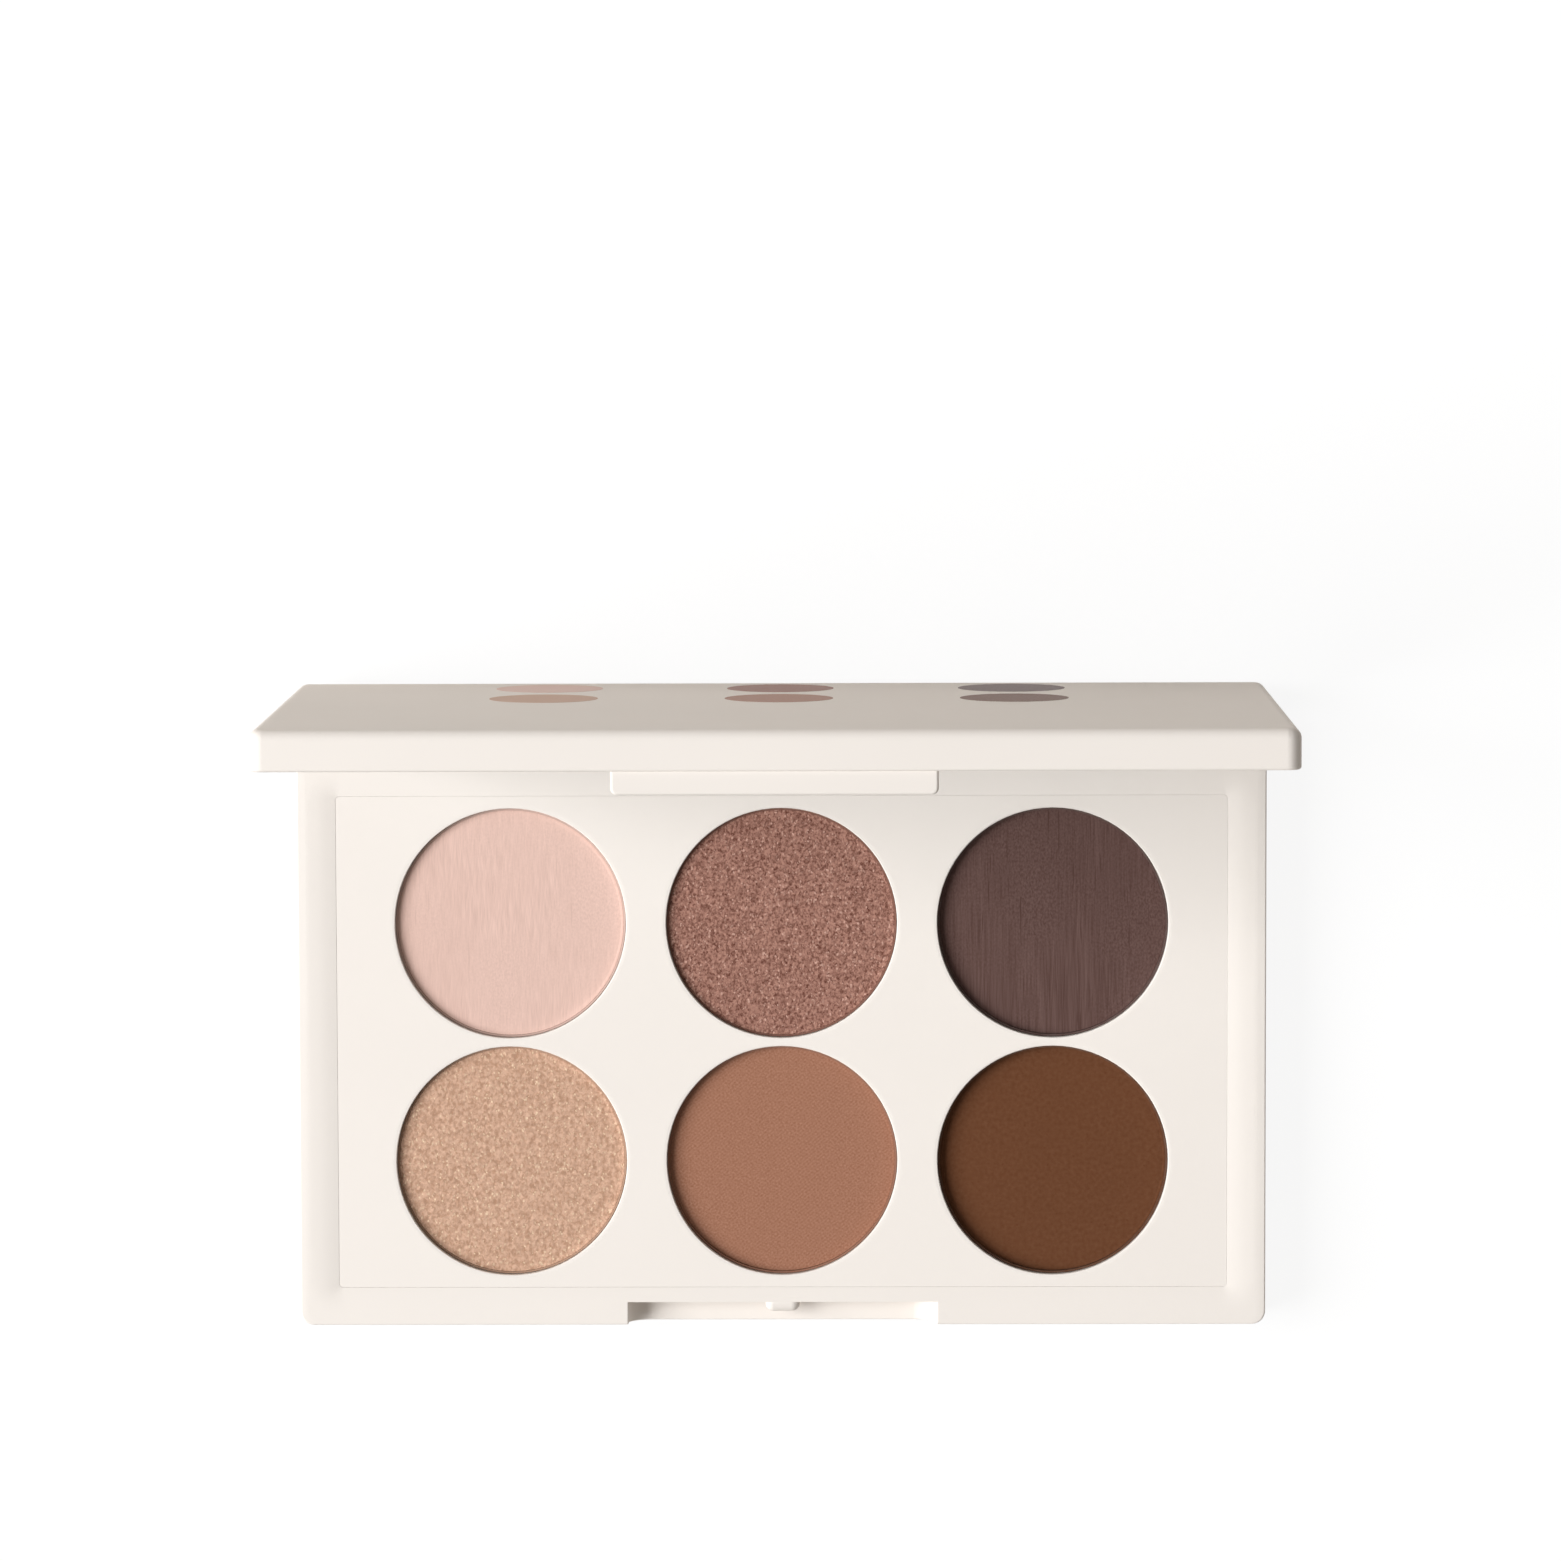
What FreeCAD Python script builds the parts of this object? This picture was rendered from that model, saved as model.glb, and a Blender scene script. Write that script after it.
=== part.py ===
"""Eyeshadow palette: a compact with six round pans of pressed powder and a hinged mirror lid.

Frame in millimetres: X to the right, Y to the hinge, Z up. The origin is the middle of the
base's underside. The lid stands open, turned by lid_opening from closed.
"""
import FreeCAD, Part
import math
import os
import Sketcher

SIZES = {
    # Pans, powder and adhesive, from the bottom up
    "socket_floor": 1.2,
    "socket_depth": 0.8,
    "glue_thickness": 0.2,
    "glue_radius": 5.0,
    "pan_diameter": 26.1,
    "pan_height": 4.78,
    "pan_wall": 0.2,
    "pan_corner_radius": 0.9,
    "powder_side_gap": 0.02,
    "powder_lip_run": 0.3,
    "powder_lip_radius": 0.9,
    # How far each powder's face lies below the rim of its pan
    "sink_back_left": 0.2,
    "sink_back_middle": 0.09,
    "sink_back_right": 0.54,
    "sink_front_left": 0.16,
    "sink_front_middle": 0.49,
    "sink_front_right": 0.76,
    # Tray plate with the six holes
    "pan_clearance": 0.07,
    "row_web": 0.96,
    "column_web": 4.56,
    "tray_side_margin": 6.67,
    "tray_end_margin": 1.4,
    "tray_corner_radius": 0.43,
    "tray_thickness": 1.0,
    "tray_cover": 0.72,
    "tray_gap": 0.02,
    "hole_dish_run": 0.4,
    "hole_dish_fall": 0.03,
    "hole_edge_radius": 0.12,
    # Base shell
    "tray_step": 0.025,
    "side_rim": 4.39,
    "front_rim": 4.29,
    "back_rim": 7.15,
    "crown_width": 3.1,
    "crown_radius": 17.61,
    "brow_width": 1.0,
    "brow_radius": 8.0,
    "ledge_width": 1.0,
    "post_radius": 2.0,
    "corner_radius": 1.5,
    "base_top_round": 0.2,
    "base_bottom_round": 0.6,
    # Lid shell and mirror
    "parting_gap": 0.15,
    "lid_thickness": 4.4,
    "lid_top_round": 1.1,
    "lid_bottom_round": 0.35,
    "lid_frame": 6.0,
    "mirror_thickness": 1.3,
    "mirror_sink": 0.35,
    "mirror_gap": 0.15,
    "mirror_corner_radius": 1.0,
    "mirror_bevel": 0.2,
    "tape_thickness": 0.25,
    "tape_margin": 1.5,
    "lid_opening": 90.0,
    # Hinge
    "hinge_inset": 2.2,
    "hinge_drop": 3.0,
    "lug_radius": 1.75,
    "lug_width": 13.6,
    "lug_from_side": 16.0,
    "lug_gap": 0.2,
    "lug_room_below": 0.9,
    "pin_radius": 0.75,
    "pin_running_gap": 0.05,
    "pin_grip": 3.0,
    "pin_end_sink": 0.2,
    "pin_chamfer": 0.15,
    # Latch
    "tab_width": 34.3,
    "tab_drop": 2.5,
    "tab_thickness": 1.25,
    "tab_setback": 0.4,
    "tab_root": 0.5,
    "tab_corner_radius": 0.7,
    "tab_edge_round": 0.3,
    "tab_side_room": 0.45,
    "tab_floor_room": 1.25,
    "notch_end_radius": 2.6,
    "notch_lip_round": 0.15,
    "catch_width": 3.9,
    "catch_radius": 1.2,
    "catch_drop": 1.3,
    "catch_bite": 0.25,
    "catch_gap": 0.12,
    "catch_end_round": 0.9,
}

TOUCH = 1e-4


class Size:
    """A number kept together with the sheet formula that drives it."""

    def __init__(self, formula, value):
        self.formula = formula
        self.value = value

    @staticmethod
    def of(thing):
        return thing if isinstance(thing, Size) else Size("%.6g" % thing, float(thing))

    def __add__(self, other):
        other = Size.of(other)
        return Size("(%s + %s)" % (self.formula, other.formula), self.value + other.value)

    def __sub__(self, other):
        other = Size.of(other)
        return Size("(%s - %s)" % (self.formula, other.formula), self.value - other.value)

    def __mul__(self, other):
        other = Size.of(other)
        return Size("(%s * %s)" % (self.formula, other.formula), self.value * other.value)

    def __truediv__(self, other):
        other = Size.of(other)
        return Size("(%s / %s)" % (self.formula, other.formula), self.value / other.value)

    def __neg__(self):
        return Size("(0 - %s)" % self.formula, -self.value)

    def root(self):
        return Size("sqrt(%s)" % self.formula, math.sqrt(self.value))


doc = FreeCAD.newDocument("eyeshadow_palette")
sheet = doc.addObject("Spreadsheet::Sheet", "sizes")
for row, (name, number) in enumerate(SIZES.items(), start=1):
    sheet.set("A%d" % row, name)
    sheet.set("B%d" % row, "%g" % number)
    sheet.setAlias("B%d" % row, name)
doc.recompute()


def size(name):
    return Size("sizes.%s" % name, float(sheet.get(name)))


def fall_of(radius, run):
    """How far an arc of that radius, level where it starts, has fallen after a run."""
    return radius - (radius * radius - run * run).root()


# Plan of the case, worked out from the pans outwards
hole_diameter = size("pan_diameter") + size("pan_clearance") * 2
pitch_x = hole_diameter + size("column_web")
pitch_y = hole_diameter + size("row_web")
tray_width = pitch_x * 2 + hole_diameter + size("tray_side_margin") * 2
tray_depth = pitch_y + hole_diameter + size("tray_end_margin") * 2
recess_width = tray_width + size("tray_gap") * 2
recess_depth = tray_depth + size("tray_gap") * 2
recess_corner = size("tray_corner_radius") + size("tray_gap")
case_width = recess_width + size("side_rim") * 2
case_depth = recess_depth + size("front_rim") + size("back_rim")
half_width = case_width / 2
half_depth = case_depth / 2
tray_y = (size("front_rim") - size("back_rim")) / 2

# Heights above the underside
pan_z = size("socket_floor") + size("glue_thickness")
floor_z = size("socket_floor") + size("socket_depth")
tray_z = pan_z + size("pan_height") + size("tray_cover")
ledge_z = tray_z - size("tray_thickness")
base_height = tray_z + size("tray_step") + fall_of(size("crown_radius"), size("crown_width"))

# Hinge axis, and the lid as it lies closed about that axis
hinge_y = half_depth - size("hinge_inset")
hinge_z = base_height - size("hinge_drop")
lid_low = size("hinge_drop") + size("parting_gap")
lid_high = lid_low + size("lid_thickness")
lid_front = size("hinge_inset") - case_depth
lid_y = size("hinge_inset") - half_depth
lug_x = half_width - size("lug_from_side")
well_width = size("lug_width") + size("lug_gap") * 2

# Latch: the notch takes the tab, and the catch reaches catch_bite past the tab's inner face
notch_width = size("tab_width") + size("tab_side_room") * 2
notch_depth = size("tab_setback") + size("tab_thickness") + size("catch_radius") - size("catch_bite")
notch_z = base_height + size("parting_gap") - size("tab_drop") - size("tab_floor_room")
catch_z = base_height - size("catch_drop")

PANS = [
    (row + "_" + column, pitch_x * step_x, tray_y + pitch_y * step_y)
    for row, step_y in (("back", 0.5), ("front", -0.5))
    for column, step_x in (("left", -1), ("middle", 0), ("right", 1))
]
sub_parts = []


def new_body(label):
    body = doc.addObject("PartDesign::Body", label)
    body.Label = label
    sub_parts.append(body)
    return body


def place(body, x=None, y=None, z=None):
    for axis, where in (("x", x), ("y", y), ("z", z)):
        if where is not None:
            body.setExpression("Placement.Base." + axis, where.formula)


def new_sketch(body, role, name, lift=None):
    """An empty sketch on one of the body's origin planes, moved along the plane's normal."""
    plane = next(item for item in body.Origin.OriginFeatures if item.Role == role)
    sketch = body.newObject("Sketcher::SketchObject", name)
    sketch.AttachmentSupport = [(plane, "")]
    sketch.MapMode = "FlatFace"
    if lift is not None:
        sketch.setExpression("AttachmentOffset.Base.z", lift.formula)
    return sketch


def tie(sketch, kind, where, length):
    index = sketch.addConstraint(Sketcher.Constraint(kind, *where, length.value))
    sketch.setExpression("Constraints[%d]" % index, length.formula)


def tie_point(sketch, curve, end, x, y):
    """Ties one point of a curve to its place, measured from the sketch's origin."""
    tie(sketch, "DistanceX", (-1, 1, curve, end), x)
    tie(sketch, "DistanceY", (-1, 1, curve, end), y)


def draw(sketch, points):
    """A closed outline. A point is (x, y), or (x, y, radius, turn) when an arc leads on from it.

    turn is 1 for an arc that runs to the left of its way, and -1 for one that runs to the right.
    """
    points = [tuple(Size.of(item) for item in point) for point in points]
    ends = []
    for point, following in zip(points, points[1:] + points[:1]):
        start = FreeCAD.Vector(point[0].value, point[1].value)
        stop = FreeCAD.Vector(following[0].value, following[1].value)
        if len(point) == 2:
            curve = sketch.addGeometry(Part.LineSegment(start, stop))
            ends.append((curve, 1, 2))
            continue
        radius = point[2].value
        turn = point[3].value
        chord = stop - start
        across = FreeCAD.Vector(-chord.y, chord.x).normalize()
        reach = math.sqrt(max(radius ** 2 - (chord.Length / 2) ** 2, 0.0))
        centre = (start + stop) / 2 + across * (reach * turn)
        first, last = (start, stop) if turn > 0 else (stop, start)
        angles = [math.atan2(spot.y - centre.y, spot.x - centre.x) for spot in (first, last)]
        circle = Part.Circle(centre, FreeCAD.Vector(0, 0, 1), radius)
        curve = sketch.addGeometry(Part.ArcOfCircle(circle, *angles))
        tie(sketch, "Radius", (curve,), point[2])
        ends.append((curve, 1, 2) if turn > 0 else (curve, 2, 1))
    for index, point in enumerate(points):
        curve, start, _ = ends[index]
        before, _, stop = ends[index - 1]
        sketch.addConstraint(Sketcher.Constraint("Coincident", before, stop, curve, start))
        tie_point(sketch, curve, start, point[0], point[1])


def draw_rectangle(sketch, width, depth, radius, centre_y=0.0):
    """A rectangle with rounded corners, centred on the sketch's upright axis."""
    x = width / 2
    top = depth / 2 + centre_y
    low = Size.of(centre_y) - depth / 2
    draw(sketch, [
        (-x + radius, low), (x - radius, low, radius, 1),
        (x, low + radius), (x, top - radius, radius, 1),
        (x - radius, top), (-x + radius, top, radius, 1),
        (-x, top - radius), (-x, low + radius, radius, 1),
    ])


def draw_circle(sketch, x, y, radius):
    x, y = Size.of(x), Size.of(y)
    centre = FreeCAD.Vector(x.value, y.value)
    curve = sketch.addGeometry(Part.Circle(centre, FreeCAD.Vector(0, 0, 1), radius.value))
    tie(sketch, "Radius", (curve,), radius)
    tie_point(sketch, curve, 3, x, y)


def extrude(body, kind, sketch, length, symmetric=False):
    """A Pad along the sketch's normal or a Pocket against it, or either one about its plane."""
    feature = body.newObject("PartDesign::" + kind, sketch.Name + "_" + kind.lower())
    feature.Profile = sketch
    feature.setExpression("Length", length.formula)
    if symmetric:
        feature.SideType = "Symmetric"
    before = body.Shape.Volume if not body.Shape.isNull() else 0.0
    doc.recompute()
    grown = feature.Shape.Volume - before
    if (grown <= 0) == (kind == "Pad"):
        raise RuntimeError("%s of %s changes nothing" % (kind, body.Label))
    return feature


def turn_profile(body, points):
    """A solid of revolution about the body's upright axis."""
    sketch = new_sketch(body, "XZ_Plane", body.Name + "_profile")
    draw(sketch, points)
    feature = body.newObject("PartDesign::Revolution", body.Name + "_turned")
    feature.Profile = sketch
    feature.ReferenceAxis = (sketch, ["V_Axis"])
    feature.Angle = 360.0
    doc.recompute()
    return feature


def dress(body, kind, base, chosen, amount):
    """A Fillet or Chamfer on the edges of base for which chosen is true."""
    names = ["Edge%d" % n for n, edge in enumerate(base.Shape.Edges, start=1) if chosen(edge)]
    feature = body.newObject("PartDesign::" + kind, base.Name + "_" + kind.lower())
    feature.Base = (base, names)
    feature.setExpression("Radius" if kind == "Fillet" else "Size", amount.formula)
    doc.recompute()
    return feature


def mirror_left(body, original):
    """The same feature again on the other side of the body's middle plane."""
    feature = body.newObject("PartDesign::Mirrored", original.Name + "_left")
    feature.Originals = [original]
    plane = next(item for item in body.Origin.OriginFeatures if item.Role == "YZ_Plane")
    feature.MirrorPlane = (plane, [""])
    body.Tip = feature
    doc.recompute()
    return feature


def at_height(edge, height):
    box = edge.BoundBox
    return abs(box.ZMin - height.value) < TOUCH and abs(box.ZMax - height.value) < TOUCH


def on_outline(edge):
    """Whether an edge runs along the case's outer faces or round its corners."""
    spot = edge.valueAt((edge.FirstParameter + edge.LastParameter) / 2)
    inset = min(half_width.value - abs(spot.x), half_depth.value - abs(spot.y))
    return inset < SIZES["corner_radius"] / 2


def shave_top(body, name, width, depth, corner, centre_y, side, run, radius):
    """Cuts an arc off the top along a rounded rectangle, level on that line and falling from it.

    side is 1 where the arc falls outwards, and -1 where it falls inwards.
    """
    path = new_sketch(body, "XY_Plane", name + "_path", base_height)
    x = width / 2
    top = depth / 2 + centre_y
    low = centre_y - depth / 2
    draw(path, [
        (x, centre_y), (x, top - corner, corner, 1), (x - corner, top), (-x + corner, top, corner, 1),
        (-x, top - corner), (-x, low + corner, corner, 1), (-x + corner, low),
        (x - corner, low, corner, 1), (x, low + corner),
    ])
    section = new_sketch(body, "XZ_Plane", name + "_section", -centre_y)
    reach = x + run * side
    above = base_height + size("parting_gap")
    draw(section, [
        (x, base_height, radius, -side), (reach, base_height - fall_of(radius, run)),
        (reach, above), (x, above),
    ])
    feature = body.newObject("PartDesign::SubtractivePipe", name)
    feature.Profile = section
    feature.Spine = (path, [])
    before = body.Shape.Volume
    doc.recompute()
    if feature.Shape.Volume >= before:
        raise RuntimeError("%s of %s changes nothing" % (name, body.Label))
    return feature


def make_base_shell():
    body = new_body("base_shell")

    outline = new_sketch(body, "XY_Plane", "case_outline")
    draw_rectangle(outline, case_width, case_depth, size("corner_radius"))
    block = extrude(body, "Pad", outline, base_height)
    dress(body, "Fillet", block, lambda edge: at_height(edge, Size.of(0)), size("base_bottom_round"))

    # The rim's brow falls gently to the outer faces, and its crown further, to the tray
    brow = size("brow_width")
    edged = shave_top(body, "brow", case_width - brow * 2, case_depth - brow * 2,
                      size("corner_radius") - brow, Size.of(0), 1,
                      brow + size("parting_gap"), size("brow_radius"))
    edge_z = base_height - fall_of(size("brow_radius"), brow)
    dress(body, "Fillet", edged, lambda edge: at_height(edge, edge_z) and on_outline(edge),
          size("base_top_round"))
    crown = size("crown_width")
    shave_top(body, "crown", recess_width + crown * 2, recess_depth + crown * 2,
              recess_corner + crown, tray_y, -1, crown + recess_corner / 2, size("crown_radius"))

    # Recess for the tray, the hollow under it, and a socket for each pan
    recess = new_sketch(body, "XY_Plane", "tray_recess", base_height)
    draw_rectangle(recess, recess_width, recess_depth, recess_corner, tray_y)
    extrude(body, "Pocket", recess, base_height - ledge_z)
    hollow = new_sketch(body, "XY_Plane", "hollow", ledge_z)
    draw_rectangle(hollow, recess_width - size("ledge_width") * 2,
                   recess_depth - size("ledge_width") * 2, size("tray_corner_radius"), tray_y)
    extrude(body, "Pocket", hollow, ledge_z - floor_z)
    sockets = new_sketch(body, "XY_Plane", "pan_sockets", floor_z)
    for _, x, y in PANS:
        draw_circle(sockets, x, y, hole_diameter / 2)
    extrude(body, "Pocket", sockets, size("socket_depth"))

    # Posts between the pans that hold up the middle of the tray
    posts = new_sketch(body, "XY_Plane", "tray_posts", floor_z)
    for side in (-0.5, 0.5):
        draw_circle(posts, pitch_x * side, tray_y, size("post_radius"))
    extrude(body, "Pad", posts, ledge_z - floor_z)

    # The back edge is turned down about the hinge axis, so that the lid swings clear of it
    relief = new_sketch(body, "YZ_Plane", "back_relief")
    drop = size("hinge_drop")
    fall = (drop * drop - size("hinge_inset") * size("hinge_inset")).root()
    above = base_height + size("parting_gap")
    behind = half_depth + size("parting_gap")
    draw(relief, [
        (hinge_y, above), (hinge_y, base_height, drop, -1), (half_depth, hinge_z + fall),
        (behind, hinge_z + fall), (behind, above),
    ])
    extrude(body, "Pocket", relief, case_width * 2, symmetric=True)

    # Wells for the lid's lugs, open to the back and the top
    wells = new_sketch(body, "XY_Plane", "lug_wells", base_height)
    front = hinge_y - size("lug_radius") - size("lug_gap")
    draw(wells, [
        (lug_x - well_width / 2, front), (lug_x + well_width / 2, front),
        (lug_x + well_width / 2, behind), (lug_x - well_width / 2, behind),
    ])
    well_depth = size("hinge_drop") + size("lug_radius") + size("lug_room_below")
    mirror_left(body, extrude(body, "Pocket", wells, well_depth))

    # Blind bores for the hinge pins, from the side faces
    bore = new_sketch(body, "YZ_Plane", "pin_bore", half_width)
    draw_circle(bore, hinge_y, hinge_z, size("pin_radius"))
    bore_depth = half_width - lug_x + well_width / 2 + size("pin_grip") + size("pin_end_sink")
    mirror_left(body, extrude(body, "Pocket", bore, bore_depth))

    # Latch notch in the front rim, with a rounded lip
    notch = new_sketch(body, "XZ_Plane", "latch_notch", half_depth)
    x = notch_width / 2
    radius = size("notch_end_radius")
    draw(notch, [
        (-x, above), (-x, notch_z + radius, radius, 1), (-x + radius, notch_z),
        (x - radius, notch_z, radius, 1), (x, notch_z + radius), (x, above),
    ])
    scoop = extrude(body, "Pocket", notch, notch_depth)
    dress(body, "Fillet", scoop, lambda edge: at_height(edge, notch_z)
          and edge.BoundBox.YMax < TOUCH - half_depth.value, size("notch_lip_round"))

    # Catch on the notch's back wall
    catch = new_sketch(body, "YZ_Plane", "catch")
    wall = notch_depth - half_depth
    nose_radius = size("catch_radius")
    inside = wall + nose_radius / 2
    draw(catch, [
        (wall, catch_z + nose_radius, nose_radius, 1), (wall - nose_radius, catch_z, nose_radius, 1),
        (wall, catch_z - nose_radius), (inside, catch_z - nose_radius),
        (inside, catch_z + nose_radius),
    ])
    nose = extrude(body, "Pad", catch, size("catch_width"), symmetric=True)

    def is_nose_end(edge):
        box = edge.BoundBox
        return box.XLength < TOUCH and abs(abs(box.XMin) - SIZES["catch_width"] / 2) < TOUCH \
            and box.YMin < wall.value - SIZES["catch_radius"] / 2

    dress(body, "Fillet", nose, is_nose_end, size("catch_end_round"))


def make_pan_tray():
    body = new_body("pan_tray")
    place(body, y=tray_y, z=ledge_z)
    plate = new_sketch(body, "XY_Plane", "tray_plate")
    draw_rectangle(plate, tray_width, tray_depth, size("tray_corner_radius"))
    extrude(body, "Pad", plate, size("tray_thickness"))
    holes = new_sketch(body, "XY_Plane", "tray_holes", size("tray_thickness"))
    for _, x, y in PANS:
        draw_circle(holes, x, y - tray_y, hole_diameter / 2)
    pierced = extrude(body, "Pocket", holes, size("tray_thickness"))

    # The plate dips a little towards each hole, as a punched edge does
    def rims_at(height):
        return lambda edge: at_height(edge, height) and isinstance(edge.Curve, Part.Circle) \
            and abs(edge.Curve.Radius - hole_diameter.value / 2) < TOUCH

    dish = dress(body, "Chamfer", pierced, rims_at(size("tray_thickness")), size("hole_dish_run"))
    dish.ChamferType = "Two distances"
    dish.setExpression("Size2", size("hole_dish_fall").formula)
    doc.recompute()
    dress(body, "Fillet", dish, rims_at(size("tray_thickness") - size("hole_dish_fall")),
          size("hole_edge_radius"))


def make_pan(place_name, x, y):
    body = new_body("pan_" + place_name)
    place(body, x, y, pan_z)
    outer = size("pan_diameter") / 2
    wall = size("pan_wall")
    bend = size("pan_corner_radius")
    turn_profile(body, [
        (0, 0), (outer - bend, 0, bend, 1), (outer, bend), (outer, size("pan_height")),
        (outer - wall, size("pan_height")), (outer - wall, bend, bend - wall, -1),
        (outer - bend, wall), (0, wall),
    ])


def make_powder(place_name, x, y):
    body = new_body("powder_" + place_name)
    place(body, x, y, pan_z + size("pan_wall"))
    outer = size("pan_diameter") / 2 - size("pan_wall") - size("powder_side_gap")
    bend = size("pan_corner_radius") - size("pan_wall")
    # The pressed face is flat, and turns up into a small cove against the pan's wall
    run = size("powder_lip_run")
    cove = size("powder_lip_radius")
    face = size("pan_height") - size("pan_wall") - size("sink_" + place_name)
    brim = face + fall_of(cove, run)
    turn_profile(body, [
        (0, 0), (outer - bend, 0, bend, 1), (outer, bend), (outer, brim, cove, -1),
        (outer - run, face), (0, face),
    ])


def make_glue_dots():
    body = new_body("pan_glue_dots")
    body.AllowCompound = True
    place(body, z=size("socket_floor"))
    dots = new_sketch(body, "XY_Plane", "glue_dots")
    for _, x, y in PANS:
        draw_circle(dots, x, y, size("glue_radius"))
    extrude(body, "Pad", dots, size("glue_thickness"))


def hang_on_hinge(body):
    """Lid pieces are drawn closed about the hinge axis, and turned open by the body's placement."""
    place(body, y=hinge_y, z=hinge_z)
    body.Placement.Rotation = FreeCAD.Rotation(FreeCAD.Vector(-1, 0, 0), 1)
    body.setExpression("Placement.Rotation.Angle", "sizes.lid_opening")


mirror_width = case_width - size("lid_frame") * 2 - size("mirror_gap") * 2
mirror_depth = case_depth - size("lid_frame") * 2 - size("mirror_gap") * 2
mirror_low = lid_low + size("mirror_sink")
mirror_high = mirror_low + size("mirror_thickness")


def make_lid_shell():
    body = new_body("lid_shell")
    hang_on_hinge(body)
    cover = new_sketch(body, "XY_Plane", "lid_cover", lid_low)
    draw_rectangle(cover, case_width, case_depth, size("corner_radius"), lid_y)
    slab = extrude(body, "Pad", cover, size("lid_thickness"))
    top = dress(body, "Fillet", slab, lambda edge: at_height(edge, lid_high), size("lid_top_round"))
    dress(body, "Fillet", top, lambda edge: at_height(edge, lid_low), size("lid_bottom_round"))

    # Seat of the mirror and its tape
    seat = new_sketch(body, "XY_Plane", "mirror_seat", mirror_high + size("tape_thickness"))
    draw_rectangle(seat, mirror_width + size("mirror_gap") * 2, mirror_depth + size("mirror_gap") * 2,
                   size("mirror_corner_radius") + size("mirror_gap"), lid_y)
    extrude(body, "Pocket", seat, mirror_high + size("tape_thickness") - lid_low)

    # Two lugs, round about the hinge axis, with the pins' running bores
    lug = new_sketch(body, "YZ_Plane", "lug", lug_x)
    arm = size("lug_radius")
    root = lid_low + size("lid_bottom_round") * 2
    draw(lug, [(-arm, root), (-arm, 0, arm, 1), (0, -arm, arm, 1), (arm, 0), (arm, root)])
    mirror_left(body, extrude(body, "Pad", lug, size("lug_width"), symmetric=True))
    bore = new_sketch(body, "YZ_Plane", "lug_bore", lug_x + size("lug_width") / 2)
    draw_circle(bore, 0, 0, size("pin_radius") + size("pin_running_gap"))
    mirror_left(body, extrude(body, "Pocket", bore, size("lug_width")))

    # Latch tab under the free edge, with a groove that takes the catch
    tab_back = lid_front + size("tab_setback") + size("tab_thickness")
    tab = new_sketch(body, "XZ_Plane", "latch_tab", -tab_back)
    x = size("tab_width") / 2
    low = lid_low - size("tab_drop")
    radius = size("tab_corner_radius")
    high = lid_low + size("tab_root")
    draw(tab, [
        (-x, high), (-x, low + radius, radius, 1), (-x + radius, low),
        (x - radius, low, radius, 1), (x, low + radius), (x, high),
    ])
    flap = extrude(body, "Pad", tab, size("tab_thickness"))
    tab_face = lid_front + size("tab_setback")
    dress(body, "Fillet", flap, lambda edge: edge.BoundBox.ZMin < lid_low.value - TOUCH
          and abs(edge.BoundBox.YMin - tab_face.value) < TOUCH and edge.BoundBox.YLength < TOUCH,
          size("tab_edge_round"))
    groove = new_sketch(body, "YZ_Plane", "catch_groove")
    draw_circle(groove, lid_front + notch_depth, catch_z - hinge_z,
                size("catch_radius") + size("catch_gap"))
    extrude(body, "Pocket", groove, size("catch_width") + size("catch_gap") * 4, symmetric=True)


def make_mirror():
    body = new_body("mirror")
    hang_on_hinge(body)
    pane = new_sketch(body, "XY_Plane", "mirror_pane", mirror_low)
    draw_rectangle(pane, mirror_width, mirror_depth, size("mirror_corner_radius"), lid_y)
    glass = extrude(body, "Pad", pane, size("mirror_thickness"))
    dress(body, "Chamfer", glass, lambda edge: at_height(edge, mirror_low), size("mirror_bevel"))


def make_mirror_tape():
    body = new_body("mirror_tape")
    hang_on_hinge(body)
    tape = new_sketch(body, "XY_Plane", "tape_sheet", mirror_high)
    margin = size("tape_margin") * 2
    draw_rectangle(tape, mirror_width - margin, mirror_depth - margin,
                   size("mirror_corner_radius"), lid_y)
    extrude(body, "Pad", tape, size("tape_thickness"))


def make_hinge_pin(label, side):
    """A steel pin, pressed into the base from one side face, that the lid's lug turns on."""
    body = new_body(label)
    inner = lug_x - well_width / 2 - size("pin_grip")
    outer = half_width - size("pin_end_sink")
    place(body, inner if side > 0 else -outer, hinge_y, hinge_z)
    section = new_sketch(body, "YZ_Plane", label + "_section")
    draw_circle(section, 0, 0, size("pin_radius"))
    rod = extrude(body, "Pad", section, outer - inner)
    dress(body, "Chamfer", rod, lambda edge: edge.BoundBox.XLength < TOUCH, size("pin_chamfer"))


make_base_shell()
make_pan_tray()
for pan_place, pan_x, pan_y in PANS:
    make_pan(pan_place, pan_x, pan_y)
    make_powder(pan_place, pan_x, pan_y)
make_glue_dots()
make_lid_shell()
make_mirror()
make_mirror_tape()
make_hinge_pin("hinge_pin_left", -1)
make_hinge_pin("hinge_pin_right", 1)
doc.recompute()

for item in doc.Objects:
    if "Invalid" in item.State or "Error" in item.State:
        raise RuntimeError("%s failed: %s" % (item.Name, item.State))
for body in sub_parts:
    if body.Shape.isNull() or not body.Shape.isValid():
        raise RuntimeError("%s has no valid shape" % body.Label)

os.makedirs("parts", exist_ok=True)
for body in sub_parts:
    body.Shape.exportStep(os.path.join("parts", body.Label + ".step"))
    print("%-20s %10.3f mm3, %d solids" % (body.Label, body.Shape.Volume, len(body.Shape.Solids)))
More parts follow.
